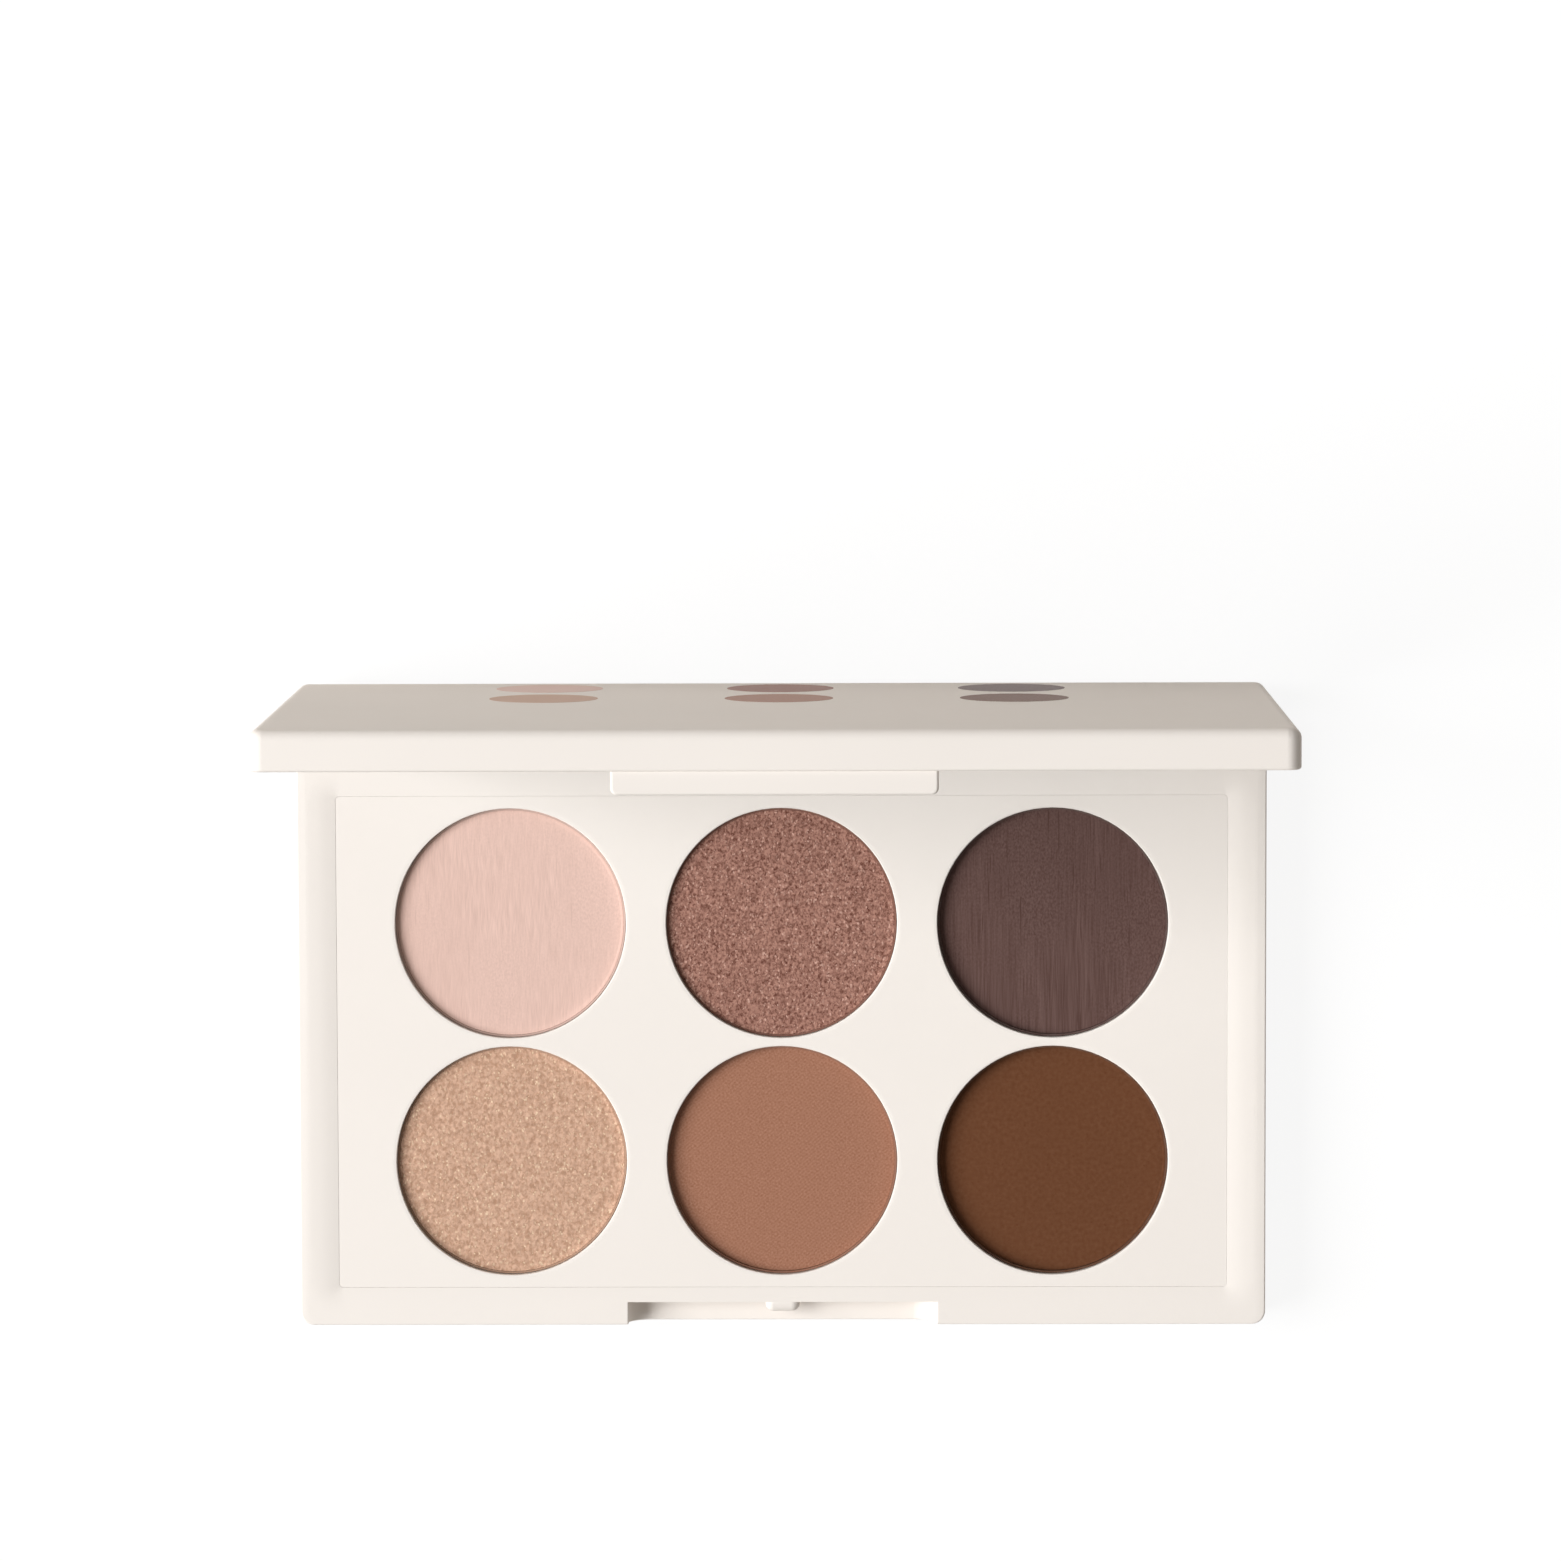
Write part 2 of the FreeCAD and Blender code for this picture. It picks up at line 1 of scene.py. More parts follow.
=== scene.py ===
"""Looks of the eyeshadow palette: finishes, pressed powders, the lid's print, light and camera.

Metres, in the frame of the CAD model: X to the right, Y to the hinge, Z up.
"""
import math
import bpy
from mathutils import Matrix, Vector, noise


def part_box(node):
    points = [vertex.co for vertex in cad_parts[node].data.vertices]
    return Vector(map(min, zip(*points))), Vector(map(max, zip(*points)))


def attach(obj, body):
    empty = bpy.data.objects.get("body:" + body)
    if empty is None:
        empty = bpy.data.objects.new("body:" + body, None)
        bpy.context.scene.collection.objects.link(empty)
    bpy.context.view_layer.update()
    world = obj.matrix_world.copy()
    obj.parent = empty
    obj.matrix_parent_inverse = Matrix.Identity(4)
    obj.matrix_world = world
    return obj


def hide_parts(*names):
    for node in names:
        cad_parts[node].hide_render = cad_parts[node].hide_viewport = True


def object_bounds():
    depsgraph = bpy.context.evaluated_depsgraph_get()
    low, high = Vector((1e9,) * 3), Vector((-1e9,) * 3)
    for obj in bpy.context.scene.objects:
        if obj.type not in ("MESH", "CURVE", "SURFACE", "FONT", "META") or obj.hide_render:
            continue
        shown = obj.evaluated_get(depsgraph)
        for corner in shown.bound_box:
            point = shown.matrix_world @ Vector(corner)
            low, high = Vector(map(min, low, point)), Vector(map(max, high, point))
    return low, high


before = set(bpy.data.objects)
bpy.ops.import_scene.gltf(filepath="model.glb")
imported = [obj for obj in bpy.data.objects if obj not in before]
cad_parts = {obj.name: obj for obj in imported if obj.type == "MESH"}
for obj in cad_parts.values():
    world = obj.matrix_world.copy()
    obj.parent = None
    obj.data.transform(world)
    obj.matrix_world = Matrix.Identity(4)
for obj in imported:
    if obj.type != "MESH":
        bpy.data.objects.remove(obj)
cad_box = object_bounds()

MM = 0.001

# Colours are sRGB, from 0 to 255
PLASTIC_COLOUR = (246, 240, 234)
TIN_COLOUR = (176, 170, 164)
STEEL_COLOUR = (178, 178, 180)
SILVER_COLOUR = (236, 240, 239)
TAPE_COLOUR = (232, 232, 228)
GLUE_COLOUR = (226, 214, 186)
FLOOR_COLOUR = (238, 232, 225)
CARD_COLOUR = (40, 39, 38)
WORLD_COLOUR = (255, 247, 238)
WHITE = (255, 255, 255)

# Each shade has its colour, how the cake was pressed, and by how many levels its tones differ. A streaked
# one also says at which slant its lines cross, in degrees, and how many times as long as wide they are. A
# shimmering one says how wide its grains are, and the light colour of its mica flakes, which is a painted
# glint as well as their own pearly tone.
SHADES = {
    "back_left": {"slot": "powder_pale_pink", "colour": (231, 198, 186), "press": "streaks",
                  "contrast": 10.0, "slant": 5.0, "draw": 14.0},
    "back_middle": {"slot": "powder_rose_bronze", "colour": (147, 100, 84), "press": "mica",
                    "contrast": 58.0, "grain": 0.26 * MM, "mica": (226, 184, 168)},
    "back_right": {"slot": "powder_plum", "colour": (101, 77, 72), "press": "streaks",
                   "contrast": 14.5, "slant": 2.0, "draw": 40.0},
    "front_left": {"slot": "powder_champagne", "colour": (203, 164, 139), "press": "mica",
                   "contrast": 31.0, "grain": 0.36 * MM, "mica": (246, 220, 188)},
    "front_middle": {"slot": "powder_terracotta", "colour": (167, 119, 96), "press": "twill",
                     "contrast": 13.5},
    "front_right": {"slot": "powder_chocolate", "colour": (108, 69, 46), "press": "smooth",
                    "contrast": 6.0},
}

# Powder finishes: the width of a streak and of a flake of mica, the flakes' share in the tone, how far a
# flake leans, and the gloss of a matte powder
STREAK = 0.18 * MM
MICA_FLAKE = 0.16 * MM
MICA_SHARE = 0.4
MICA_LEAN = 0.15
MATTE = {"Roughness": 0.9, "Specular_IOR_Level": 0.15, "Sheen_Weight": 0.05}

# The darkest and lightest tones of a mottle, as shares of its contrast
DARK_SHARE = 1.25
LIGHT_SHARE = 0.8

# Ribs that the cloth left in the twill: their pitch, the way they repeat, from X, and their share
CLOTH_RIBS = (
    (0.33 * MM, -50.0, 0.38),
    (0.43 * MM, 28.0, 0.25),
    (0.4 * MM, 65.0, 0.25),
    (0.43 * MM, -32.0, 0.12),
)

# One wave of a wave texture of scale 1
WAVE_LENGTH = math.pi / 10.0

# A Mix node's sockets for colours, by their order
MIX_FACTOR = 0
MIX_FIRST = 6
MIX_SECOND = 7
MIX_RESULT = 2

# Relief of the pressed faces: the width of its waves along X and Y, or along the diagonals for the ribs,
# and their height
SWELL_RELIEF = (6.0 * MM, 6.0 * MM, 0.02 * MM)
LINE_RELIEF = (0.4 * MM, 14.0 * MM, 0.002 * MM)
DRAG_RELIEF = (0.9 * MM, 20.0 * MM, 0.001 * MM)
GRAIN_RELIEF = (0.55 * MM, 0.7 * MM, 0.02 * MM)
RIB_RELIEF = (0.6 * MM, 2.4 * MM, 0.003 * MM)

# Seeds of the relief: the step from one cake to the next, and from a cake's lines to its drags
CAKE_SEED_STEP = 17.0
DRAG_SEED_STEP = 9.0

# Pressed cakes: the cove that runs up to the brim, the calm share of the face beside it, and the mesh
LIP_RUN = 0.3 * MM
LIP_RADIUS = 0.9 * MM
LIP_RINGS = 4
LIP_CRUMBLE = 0.012 * MM
CRUMBLE_RATE = 9.0
CALM_BAND = 0.06
CAKE_CORNER = 0.7 * MM
CAKE_COLUMNS = 320
CAKE_ROWS = 60
SHARP_ANGLE = 50.0

# Print on the lid: columns of dots in two rows, beside the hinge
DOT_COLUMNS = 3
DOT_RADIUS = 6.0 * MM
DOT_PITCH_X = 26.0 * MM
DOT_PITCH_Z = 15.0 * MM
DOT_FIRST_Z = 9.0 * MM
DOT_THICKNESS = 0.02 * MM
DOT_SIDES = 96

# Camera, with its turn in degrees
LENS = 159.07
SENSOR = 36.0
CAMERA_PLACE = Vector((8.69, 95.92, 785.81)) * MM
CAMERA_TURN = (-4.954, 0.629, -0.174)

# Light, with the key's place from its aim
KEY_AIM = Vector((0.0, 0.0, 6.0)) * MM
KEY_DISTANCE = 2.2
KEY_AZIMUTH = 183.0
KEY_ELEVATION = 40.0
KEY_SIZE = 1.5
KEY_POWER = 66.5
WORLD_LIGHT = 0.19

# Floor: half its width, how far it lies under the palette, its glow and shade as the camera sees them,
# and the gap from the palette to the dark card
FLOOR_HALF = 3.0
FLOOR_DROP = 0.02 * MM
FLOOR_GLOW = 0.9
FLOOR_SHADE = 0.12
CARD_GAP = 2.0 * MM


def linear(colour):
    """An sRGB colour as the linear one that shaders take, by the standard's own formula."""
    def channel(level):
        share = level / 255.0
        return share / 12.92 if share <= 0.04045 else ((share + 0.055) / 1.055) ** 2.4
    return tuple(channel(level) for level in colour) + (1.0,)


def shaded(colour, factor):
    """The colour, with its levels times a factor."""
    return tuple(level * factor for level in colour)


def shifted(colour, step):
    """The colour, with its levels moved by a step."""
    return tuple(min(255.0, max(0.0, level + step)) for level in colour)


def darker(shade, share):
    """A shade's colour for shaders, darker by a share of its contrast."""
    return linear(shifted(shade["colour"], -shade["contrast"] * share))


class Nodes:
    """Short calls for the nodes of a tree. What they take is a socket, which is linked, or a plain value."""

    def __init__(self, tree):
        self.tree = tree

    def plug(self, socket, value):
        """Links a socket to another one, or sets its value."""
        if isinstance(value, bpy.types.NodeSocket):
            self.tree.links.new(value, socket)
        else:
            socket.default_value = value

    def node(self, kind, inputs=None, **settings):
        """A new node. Its inputs go by name, or by their order where they share a name."""
        made = self.tree.nodes.new(kind)
        for name, value in settings.items():
            setattr(made, name, value)
        for name, value in (inputs or {}).items():
            self.plug(made.inputs[name], value)
        return made

    def combine(self, operation, first, second, clamp=False):
        """A number worked out from two others."""
        made = self.node("ShaderNodeMath", {0: first, 1: second}, operation=operation, use_clamp=clamp)
        return made.outputs["Value"]

    def weighed(self, *parts):
        """The sum of sources, each times its share."""
        total = 0.0
        for source, share in parts:
            total = self.combine("ADD", self.combine("MULTIPLY", source, share), total)
        return total

    def vector(self, operation, *values):
        """A vector worked out from others."""
        made = self.node("ShaderNodeVectorMath", dict(enumerate(values)), operation=operation)
        return made.outputs["Vector"]

    def spread(self, source, low=0.0, high=1.0, middle=0.5, reach=0.25):
        """A number that runs from low to high as source goes from middle - reach to middle + reach."""
        return self.node("ShaderNodeMapRange", {
            "Value": source, "From Min": middle - reach, "From Max": middle + reach,
            "To Min": low, "To Max": high,
        }).outputs["Result"]

    def blend(self, factor, first, second):
        """A colour that runs from first to second as factor goes from 0 to 1."""
        inputs = {MIX_FACTOR: factor, MIX_FIRST: first, MIX_SECOND: second}
        return self.node("ShaderNodeMix", inputs, data_type="RGBA").outputs[MIX_RESULT]


class Finish(Nodes):
    """A material, with calls for the patterns that its look is made of."""

    def __init__(self, name):
        self.material = bpy.data.materials.new(name)
        self.material.use_nodes = True
        super().__init__(self.material.node_tree)
        self.tree.nodes.clear()
        self.output = self.node("ShaderNodeOutputMaterial")

    def place(self, stretch=(1.0, 1.0, 1.0), turn=0.0):
        """The point on the object, in metres, for a pattern that is stretched, then turned about Z."""
        spot = self.node("ShaderNodeTexCoord").outputs["Object"]
        return self.node("ShaderNodeMapping", {
            "Vector": spot, "Scale": stretch, "Rotation": (0.0, 0.0, math.radians(turn)),
        }, vector_type="TEXTURE").outputs["Vector"]

    def noise(self, grain, stretch=(1.0, 1.0, 1.0), detail=3.0, turn=0.0, swirl=0.0):
        """Noise whose features are about as wide as grain, in metres, and drawn out where it swirls."""
        return self.node("ShaderNodeTexNoise", {
            "Vector": self.place(stretch, turn), "Scale": 1.0 / grain, "Detail": detail, "Distortion": swirl,
        }).outputs["Fac"]

    def ribs(self, pitch, turn):
        """Even ribs a pitch apart, in metres, that repeat along X turned by an angle."""
        return self.node("ShaderNodeTexWave", {
            "Vector": self.place(turn=turn), "Scale": WAVE_LENGTH / pitch,
            "Distortion": 1.2, "Detail": 2.0, "Detail Scale": 0.5,
        }).outputs["Fac"]

    def tint(self, source, colour, darkest):
        """The colour where source is 1, and darkest times it where source is 0."""
        return self.blend(source, linear(shaded(colour, darkest)), linear(colour))

    def mottle(self, source, colour, contrast, reach=0.2):
        """The colour, darker where source is low and lighter where it is high.

        The dark end lies further off than the light one, so that the middle of the blend is the colour.
        """
        dark = shifted(colour, -contrast * DARK_SHARE)
        light = shifted(colour, contrast * LIGHT_SHARE)
        return self.blend(self.spread(source, reach=reach), linear(dark), linear(light))

    def bump(self, height, depth, normal=None):
        """A normal for relief as deep as depth, in metres, over another such normal if there is one."""
        inputs = {"Height": height, "Distance": depth, "Strength": 1.0}
        if normal is not None:
            inputs["Normal"] = normal
        return self.node("ShaderNodeBump", inputs).outputs["Normal"]

    def show(self, surface):
        """Makes a shader the surface of the material."""
        self.plug(self.output.inputs["Surface"], surface)
        return self.material

    def paint(self, **inputs):
        """Shows a Principled shader with these inputs, the spaces in their names written as underscores."""
        named = {name.replace("_", " "): value for name, value in inputs.items()}
        return self.show(self.node("ShaderNodeBsdfPrincipled", named).outputs["BSDF"])


def moulded_plastic():
    """Warm white ABS from a finely eroded mould: faint clouding, a matt sheen and a fine grain."""
    finish = Finish("moulded_plastic")
    clouds = finish.spread(finish.noise(grain=22.0 * MM, detail=2.0))
    patches = finish.noise(grain=3.0 * MM)
    pits = finish.noise(grain=0.22 * MM, detail=2.0)
    return finish.paint(Base_Color=finish.tint(clouds, PLASTIC_COLOUR, darkest=0.992),
                        Roughness=finish.spread(patches, low=0.58, high=0.68),
                        Specular_IOR_Level=0.25, Normal=finish.bump(pits, depth=0.0025 * MM))


def drawn_tin(place_name, colour):
    """Tinplate drawn into a cup, with fine lines along the draw, caked all over with the powder's dust,
    darker than the powder as painted shade of the gap.
    """
    finish = Finish("drawn_tin_" + place_name)
    lines = finish.noise(grain=0.12 * MM, stretch=(1.0, 1.0, 16.0))
    metal = finish.tint(lines, TIN_COLOUR, darkest=0.9)
    dust = finish.spread(finish.noise(grain=0.8 * MM), low=0.88, high=1.0)
    # Dust and painted shade: the rim takes the powder's dust, in a tone below the powder's own that paints
    # the shade of the gap under the tray
    dust_and_painted_shade_colour = linear(shaded(colour, factor=0.86))
    return finish.paint(Base_Color=finish.blend(dust, metal, dust_and_painted_shade_colour),
                        Roughness=finish.spread(lines, low=0.6, high=0.75),
                        Specular_IOR_Level=0.15, Normal=finish.bump(lines, depth=0.003 * MM))


def pin_steel():
    """Drawn wire: bright, with fine lines along X."""
    finish = Finish("pin_steel")
    lines = finish.noise(grain=0.08 * MM, stretch=(20.0, 1.0, 1.0))
    return finish.paint(Base_Color=finish.tint(lines, STEEL_COLOUR, darkest=0.86), Metallic=1.0,
                        Roughness=finish.spread(lines, low=0.2, high=0.34),
                        Normal=finish.bump(lines, depth=0.002 * MM))


def mirror_glass():
    """Silvered glass with the faintest haze from handling."""
    finish = Finish("mirror_glass")
    haze = finish.noise(grain=9.0 * MM, detail=4.0)
    return finish.paint(Base_Color=finish.tint(haze, SILVER_COLOUR, darkest=0.985), Metallic=1.0,
                        Roughness=finish.spread(haze, low=0.008, high=0.03))


def tape_film():
    """White foam tape with small open cells."""
    finish = Finish("tape_film")
    cells = finish.noise(grain=0.4 * MM)
    return finish.paint(Base_Color=finish.tint(cells, TAPE_COLOUR, darkest=0.93), Roughness=0.8,
                        Normal=finish.bump(cells, depth=0.02 * MM))


def glue_dot():
    """A drop of clear amber hot glue."""
    finish = Finish("glue_dot")
    flow = finish.noise(grain=1.5 * MM)
    return finish.paint(Base_Color=finish.tint(flow, GLUE_COLOUR, darkest=0.92),
                        Roughness=finish.spread(flow, low=0.22, high=0.4),
                        Transmission_Weight=0.35, Normal=finish.bump(flow, depth=0.03 * MM))


def print_ink(name, colour):
    """A screen-printed dot: flat ink with the mesh of the screen just showing."""
    finish = Finish(name)
    mesh = finish.noise(grain=0.3 * MM, detail=1.0)
    return finish.paint(Base_Color=finish.tint(mesh, colour, darkest=0.95),
                        Roughness=finish.spread(mesh, low=0.5, high=0.62),
                        Normal=finish.bump(mesh, depth=0.003 * MM))


def streaked_powder(finish, shade):
    """Matte powder wiped along Y: fine lines that cross at a slant, a pebbled grain and a few scores."""
    colour = shade["colour"]
    contrast = shade["contrast"]
    drawn_out = (1.0, shade["draw"], 1.0)
    right = finish.noise(STREAK, drawn_out, detail=2.0, turn=shade["slant"])
    left = finish.noise(STREAK, drawn_out, detail=2.0, turn=-shade["slant"])
    lines = finish.weighed((right, 0.5), (left, 0.5))
    pebbles = finish.noise(grain=0.2 * MM, stretch=(1.0, 1.6, 1.0))
    clouds = finish.noise(grain=5.0 * MM, stretch=(1.0, 3.0, 1.0))
    scores = finish.noise(grain=0.24 * MM, stretch=(1.0, 24.0, 1.0), detail=1.0)
    wiped = finish.spread(finish.noise(grain=10.0 * MM, detail=1.0), low=0.15, high=0.95, reach=0.15)
    tone = finish.blend(wiped, finish.mottle(pebbles, colour, contrast),
                        finish.mottle(lines, colour, contrast, reach=0.16))
    tone = finish.blend(finish.spread(clouds, high=0.4), tone, darker(shade, share=0.6))
    tone = finish.blend(finish.spread(scores, middle=0.71, reach=0.05), tone, darker(shade, share=1.2))
    pebbled = finish.bump(pebbles, depth=0.004 * MM)
    return finish.paint(Base_Color=tone, Normal=finish.bump(lines, depth=0.004 * MM, normal=pebbled), **MATTE)


def twill_powder(finish, shade):
    """Matte powder pressed through cloth: the ribs of its weave, clearer in places, over a dusty grain."""
    colour = shade["colour"]
    contrast = shade["contrast"]
    dust_contrast = contrast * 1.4
    weave = finish.weighed(*((finish.ribs(pitch, turn), share) for pitch, turn, share in CLOTH_RIBS))
    dust = finish.noise(grain=0.22 * MM)
    clear = finish.spread(finish.noise(grain=6.0 * MM), low=0.35, high=0.65)
    tone = finish.blend(clear, finish.mottle(dust, colour, dust_contrast),
                        finish.mottle(weave, colour, contrast, reach=0.5))
    dusty = finish.bump(dust, depth=0.004 * MM)
    return finish.paint(Base_Color=tone, Normal=finish.bump(weave, depth=0.004 * MM, normal=dusty), **MATTE)


def smooth_powder(finish, shade):
    """Dense matte powder with a fine dust grain and a few darker specks."""
    dust = finish.noise(grain=0.45 * MM, detail=4.0)
    clouds = finish.noise(grain=5.0 * MM)
    specks = finish.noise(grain=0.5 * MM, detail=1.0)
    tone = finish.mottle(dust, shade["colour"], shade["contrast"])
    tone = finish.blend(finish.spread(clouds, high=0.4), tone, darker(shade, share=0.5))
    tone = finish.blend(finish.spread(specks, middle=0.74, reach=0.05), tone, darker(shade, share=1.5))
    return finish.paint(Base_Color=tone, Roughness=0.85, Specular_IOR_Level=0.1,
                        Sheen_Weight=0.02, Normal=finish.bump(dust, depth=0.004 * MM))


def mica_powder(finish, shade):
    """Shimmer: fine grains of many tones, and single flakes of mica with a tilt of their own."""
    colour = shade["colour"]
    contrast = shade["contrast"]
    flake_contrast = contrast * 0.8
    drawn_out = (1.0, 1.3, 1.0)
    grains = finish.noise(shade["grain"], drawn_out, detail=4.0, swirl=0.6)
    flakes = finish.node("ShaderNodeTexVoronoi", {
        "Vector": finish.place(drawn_out), "Scale": 1.0 / MICA_FLAKE,
    }, feature="F1").outputs["Color"]
    chance = finish.node("ShaderNodeSeparateColor", {"Color": flakes}).outputs
    tone = finish.blend(MICA_SHARE, finish.mottle(grains, colour, contrast, reach=0.14),
                        finish.mottle(chance["Red"], colour, flake_contrast, reach=0.5))
    # Painted glints: scattered flakes take the mica's light colour, which paints their sparkle over their own
    # pearly tone
    painted_glint = finish.spread(chance["Green"], high=0.6, middle=0.95, reach=0.03)
    tone = finish.blend(painted_glint, tone, linear(shade["mica"]))
    lean = finish.vector("MULTIPLY_ADD", flakes, (2.0 * MICA_LEAN, 2.0 * MICA_LEAN, 0.0),
                         (-MICA_LEAN, -MICA_LEAN, 0.0))
    grained = finish.bump(grains, depth=0.012 * MM)
    normal = finish.vector("NORMALIZE", finish.vector("ADD", grained, lean))
    return finish.paint(Base_Color=tone, Metallic=finish.spread(chance["Blue"], high=0.15),
                        Roughness=0.55, Specular_IOR_Level=0.2, Normal=normal)


POWDER_MAKERS = {"streaks": streaked_powder, "twill": twill_powder, "smooth": smooth_powder,
                 "mica": mica_powder}


def waves(shape, first, second, seed):
    """Height of smooth waves of a shape, at a point given along their two axes."""
    first_width, second_width, height = shape
    return noise.noise(Vector((first / first_width, second / second_width, seed))) * height


def relief(press, x, y, seed):
    """Height of the pressed face over its plane, at a point in metres."""
    height = waves(SWELL_RELIEF, x, y, seed)
    if press == "streaks":
        height += waves(LINE_RELIEF, x, y, seed) + waves(DRAG_RELIEF, x, y, seed + DRAG_SEED_STEP)
    elif press == "mica":
        height += waves(GRAIN_RELIEF, x, y, seed)
    elif press == "twill":
        height += waves(RIB_RELIEF, x + y, x - y, seed)
    return height


class CakeMesh:
    """Points and faces of a round cake, laid from its face outwards and then down to its floor."""

    def __init__(self, centre, seed):
        self.centre = centre
        self.seed = seed
        self.points = []
        self.faces = []
        self.edge = []

    def add_point(self, x, y, z):
        self.points.append((self.centre.x + x, self.centre.y + y, z))
        return len(self.points) - 1

    def add_face(self, radius, height, press):
        """The pressed face, in columns along Y. The first and last are one point, which they repeat."""
        def add_to_face(x, y):
            calm = min(1.0, (1.0 - math.hypot(x, y) / radius) / CALM_BAND)
            return self.add_point(x, y, height + relief(press, x, y, self.seed) * calm)

        columns = []
        for number in range(CAKE_COLUMNS + 1):
            angle = math.pi * (number / CAKE_COLUMNS - 0.5)
            x = radius * math.sin(angle)
            reach = radius * math.cos(angle)
            if number in (0, CAKE_COLUMNS):
                columns.append([add_to_face(x, 0.0)] * (CAKE_ROWS + 1))
            else:
                columns.append([add_to_face(x, reach * (2.0 * row / CAKE_ROWS - 1.0))
                                for row in range(CAKE_ROWS + 1)])
        for left, right in zip(columns, columns[1:]):
            for row in range(CAKE_ROWS):
                corners = (left[row], right[row], right[row + 1], left[row + 1])
                self.faces.append(tuple(dict.fromkeys(corners)))
        self.edge = [column[0] for column in columns] + [column[-1] for column in reversed(columns[1:-1])]

    def add_ring(self, radius, height, crumble=0.0):
        """A new edge at a radius and height, crumbled by so much, and the band of faces that leads to it."""
        last = self.edge
        self.edge = []
        for index in last:
            x, y, _ = self.points[index]
            spoke = Vector((x - self.centre.x, y - self.centre.y)).normalized()
            fray = noise.noise(Vector((spoke.x * CRUMBLE_RATE, spoke.y * CRUMBLE_RATE, self.seed))) * crumble
            self.edge.append(self.add_point(spoke.x * radius, spoke.y * radius, height + fray))
        for here in range(len(last)):
            following = (here + 1) % len(last)
            self.faces.append((last[here], self.edge[here], self.edge[following], last[following]))

    def close(self):
        """The floor, inside the last edge."""
        self.faces.append(tuple(reversed(self.edge)))


def cake_mesh(low, high, press, seed):
    """A cake in the room between two corners: worked face, cove up to the brim, side and floor."""
    outer = (high.x - low.x) / 2
    cove_z = high.z - LIP_RADIUS
    mesh = CakeMesh((low + high) / 2, seed)
    mesh.add_face(outer - LIP_RUN, cove_z + math.sqrt(LIP_RADIUS ** 2 - LIP_RUN ** 2), press)
    full_lean = math.asin(LIP_RUN / LIP_RADIUS)
    for step in range(1, LIP_RINGS + 1):
        lean = full_lean * (1.0 - step / LIP_RINGS)
        crumble = LIP_CRUMBLE * step / LIP_RINGS
        height = cove_z + LIP_RADIUS * math.cos(lean)
        mesh.add_ring(outer - LIP_RADIUS * math.sin(lean), height - crumble, crumble)
    mesh.add_ring(outer, low.z + CAKE_CORNER)
    mesh.add_ring(outer - CAKE_CORNER, low.z)
    mesh.close()
    return mesh


def new_piece(name, points, faces, material):
    """A mesh of one material, in the scene."""
    mesh = bpy.data.meshes.new(name)
    mesh.from_pydata(points, [], faces)
    mesh.validate()
    mesh.materials.append(material)
    piece = bpy.data.objects.new(name, mesh)
    bpy.context.scene.collection.objects.link(piece)
    return piece


def pressed_cake(place_name, shade, seed):
    """The powder at a place, worked in detail in the room of its CAD solid."""
    low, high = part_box("powder_" + place_name)
    mesh = cake_mesh(low, high, shade["press"], seed)
    material = POWDER_MAKERS[shade["press"]](Finish(shade["slot"]), shade)
    cake = new_piece("cake_" + place_name, mesh.points, mesh.faces, material)
    cake.data.polygons.foreach_set("use_smooth", [True] * len(cake.data.polygons))
    cake.data.set_sharp_from_angle(angle=math.radians(SHARP_ANGLE))
    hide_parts("powder_" + place_name)
    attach(cake, "base")


def dot_mesh(x, y, z):
    """Points and faces of a thin disc that faces along Y, with the middle of its back at a point."""
    points = []
    for depth in (0.0, DOT_THICKNESS):
        for side in range(DOT_SIDES):
            angle = 2.0 * math.pi * side / DOT_SIDES
            points.append((x + DOT_RADIUS * math.cos(angle), y + depth, z + DOT_RADIUS * math.sin(angle)))
    back = range(DOT_SIDES)
    front = range(DOT_SIDES, 2 * DOT_SIDES)
    faces = [tuple(back), tuple(reversed(front))]
    for here in range(DOT_SIDES):
        following = (here + 1) % DOT_SIDES
        faces.append((front[here], front[following], back[following], back[here]))
    return points, faces


def lid_print():
    """Six plain dots in the palette's shades on the lid's outer face."""
    low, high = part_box("lid_shell")
    for index, shade in enumerate(SHADES.values()):
        row, column = divmod(index, DOT_COLUMNS)
        x = (column - (DOT_COLUMNS - 1) / 2) * DOT_PITCH_X
        points, faces = dot_mesh(x, high.y, low.z + DOT_FIRST_Z + row * DOT_PITCH_Z)
        name = "print_dot_%d" % (index + 1)
        dot = new_piece(name, points, faces, print_ink(name, shade["colour"]))
        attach(dot, "lid")


def dress(material, *names):
    """Gives CAD nodes a material."""
    for name in names:
        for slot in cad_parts[name].material_slots:
            slot.material = material


def seen_ray(nodes):
    """1 on the rays that show the stage: from the camera, by a reflection, or through glass.

    It is 0 once a ray has left a matt surface, so that the white stage lights nothing by way of the mirror.
    """
    path = nodes.node("ShaderNodeLightPath").outputs
    either = nodes.combine("MAXIMUM", path["Is Camera Ray"], path["Is Glossy Ray"])
    either = nodes.combine("MAXIMUM", either, path["Is Transmission Ray"])
    return nodes.combine("SUBTRACT", either, path["Diffuse Depth"], clamp=True)


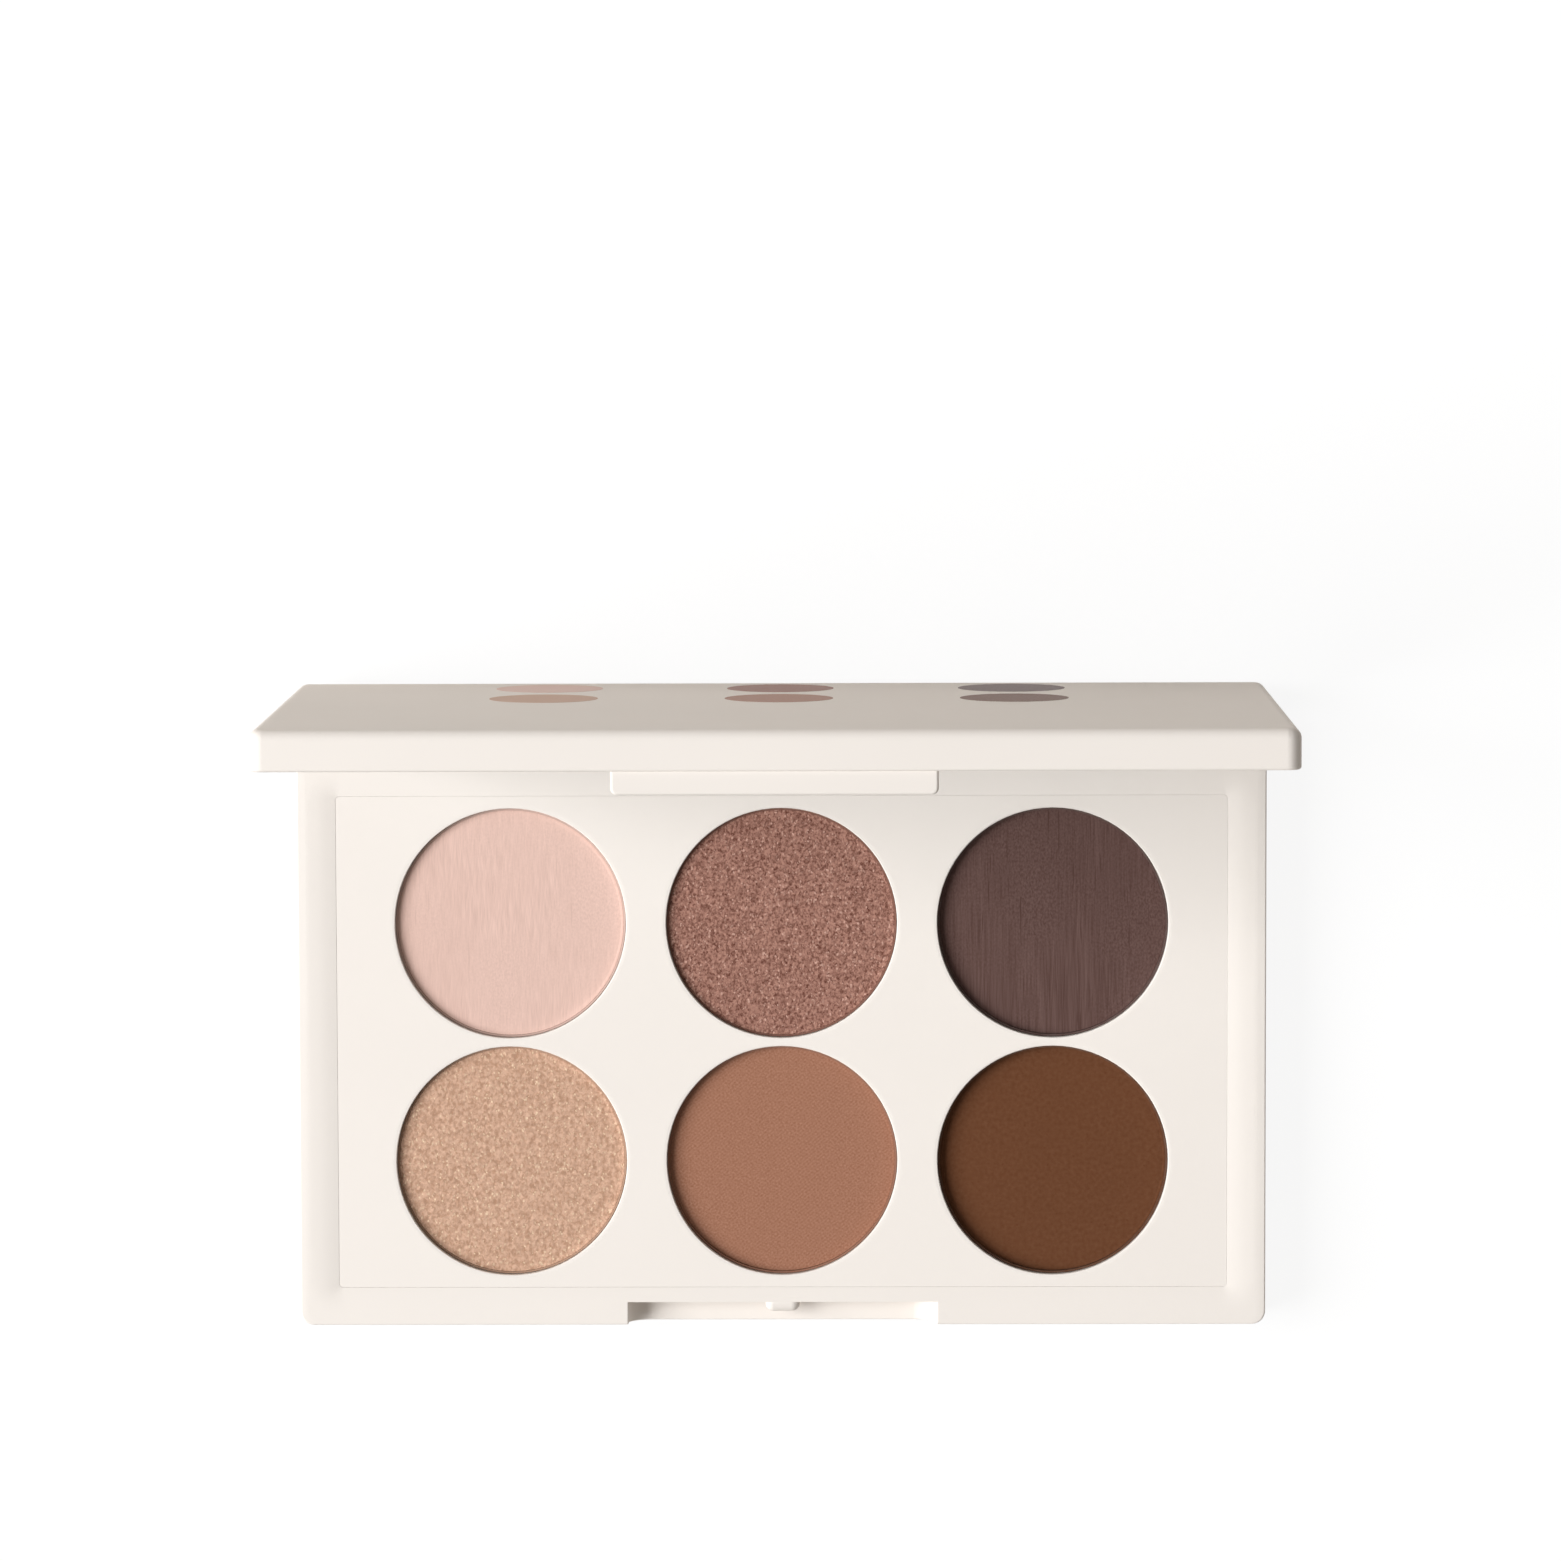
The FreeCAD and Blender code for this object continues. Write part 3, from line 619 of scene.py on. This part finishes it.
def studio_floor():
    """A pale floor that the camera sees as white, with the palette's soft shadow on it.

    On the lamp's side the floor bounces light as a dark card would, which no camera sees. The sides that
    face the lamp then aren't lit from below as well, and keep their colour.
    """
    finish = Finish("studio_floor")
    spot = finish.node("ShaderNodeSeparateXYZ", {"Vector": finish.place()}).outputs
    beside = finish.combine("LESS_THAN", spot["X"], cad_box[0].x - CARD_GAP)
    before = finish.combine("LESS_THAN", spot["Y"], cad_box[1].y)
    on_card = finish.combine("MULTIPLY", beside, before)
    bounce_colour = finish.blend(on_card, linear(FLOOR_COLOUR), linear(CARD_COLOUR))
    bounce = finish.node("ShaderNodeBsdfDiffuse", {"Color": bounce_colour})
    shade = finish.node("ShaderNodeBsdfDiffuse", {"Color": (FLOOR_SHADE, FLOOR_SHADE, FLOOR_SHADE, 1.0)})
    glow = finish.node("ShaderNodeEmission", {"Strength": FLOOR_GLOW})
    shown = finish.node("ShaderNodeAddShader", {0: shade.outputs["BSDF"], 1: glow.outputs["Emission"]})
    either = finish.node("ShaderNodeMixShader", {
        "Fac": seen_ray(finish), 1: bounce.outputs["BSDF"], 2: shown.outputs["Shader"]})
    material = finish.show(either.outputs["Shader"])
    half = FLOOR_HALF
    corners = [(x, y, -FLOOR_DROP) for x, y in ((-half, -half), (half, -half), (half, half), (-half, half))]
    new_piece("studio_floor", corners, [(0, 1, 2, 3)], material)


def studio_world():
    """Even warm light from all round, which the camera and reflections see as white."""
    world = bpy.data.worlds.new("studio_world")
    world.use_nodes = True
    nodes = Nodes(world.node_tree)
    seen = seen_ray(nodes)
    background = world.node_tree.nodes["Background"]
    nodes.plug(background.inputs["Color"], nodes.blend(seen, linear(WORLD_COLOUR), linear(WHITE)))
    nodes.plug(background.inputs["Strength"], nodes.spread(seen, low=WORLD_LIGHT, high=1.0, reach=0.5))
    bpy.context.scene.world = world


def key_light():
    """A soft box to the left of the palette."""
    lamp = bpy.data.lights.new("key_light", "AREA")
    lamp.shape = "SQUARE"
    lamp.size = KEY_SIZE
    lamp.energy = KEY_POWER
    key = bpy.data.objects.new("key_light", lamp)
    azimuth = math.radians(KEY_AZIMUTH)
    elevation = math.radians(KEY_ELEVATION)
    away = Vector((math.cos(azimuth) * math.cos(elevation), math.sin(azimuth) * math.cos(elevation),
                   math.sin(elevation)))
    key.location = KEY_AIM + away * KEY_DISTANCE
    key.rotation_euler = away.to_track_quat("Z", "Y").to_euler()
    bpy.context.scene.collection.objects.link(key)


def photo_camera():
    """The camera at the photograph's viewing angle."""
    lens = bpy.data.cameras.new("camera")
    lens.sensor_width = SENSOR
    lens.lens = LENS
    camera = bpy.data.objects.new("camera", lens)
    camera.location = CAMERA_PLACE
    camera.rotation_euler = [math.radians(turn) for turn in CAMERA_TURN]
    bpy.context.scene.collection.objects.link(camera)
    bpy.context.scene.camera = camera


dress(moulded_plastic(), "base_shell", "pan_tray", "lid_shell")
dress(pin_steel(), "hinge_pin_left", "hinge_pin_right")
dress(mirror_glass(), "mirror")
dress(tape_film(), "mirror_tape")
dress(glue_dot(), "pan_glue_dots")
for number, (name, shade) in enumerate(SHADES.items(), start=1):
    dress(drawn_tin(name, shade["colour"]), "pan_" + name)
    pressed_cake(name, shade, seed=CAKE_SEED_STEP * number)
lid_print()

studio_floor()
studio_world()
key_light()
photo_camera()
bpy.context.scene.view_settings.view_transform = "Standard"
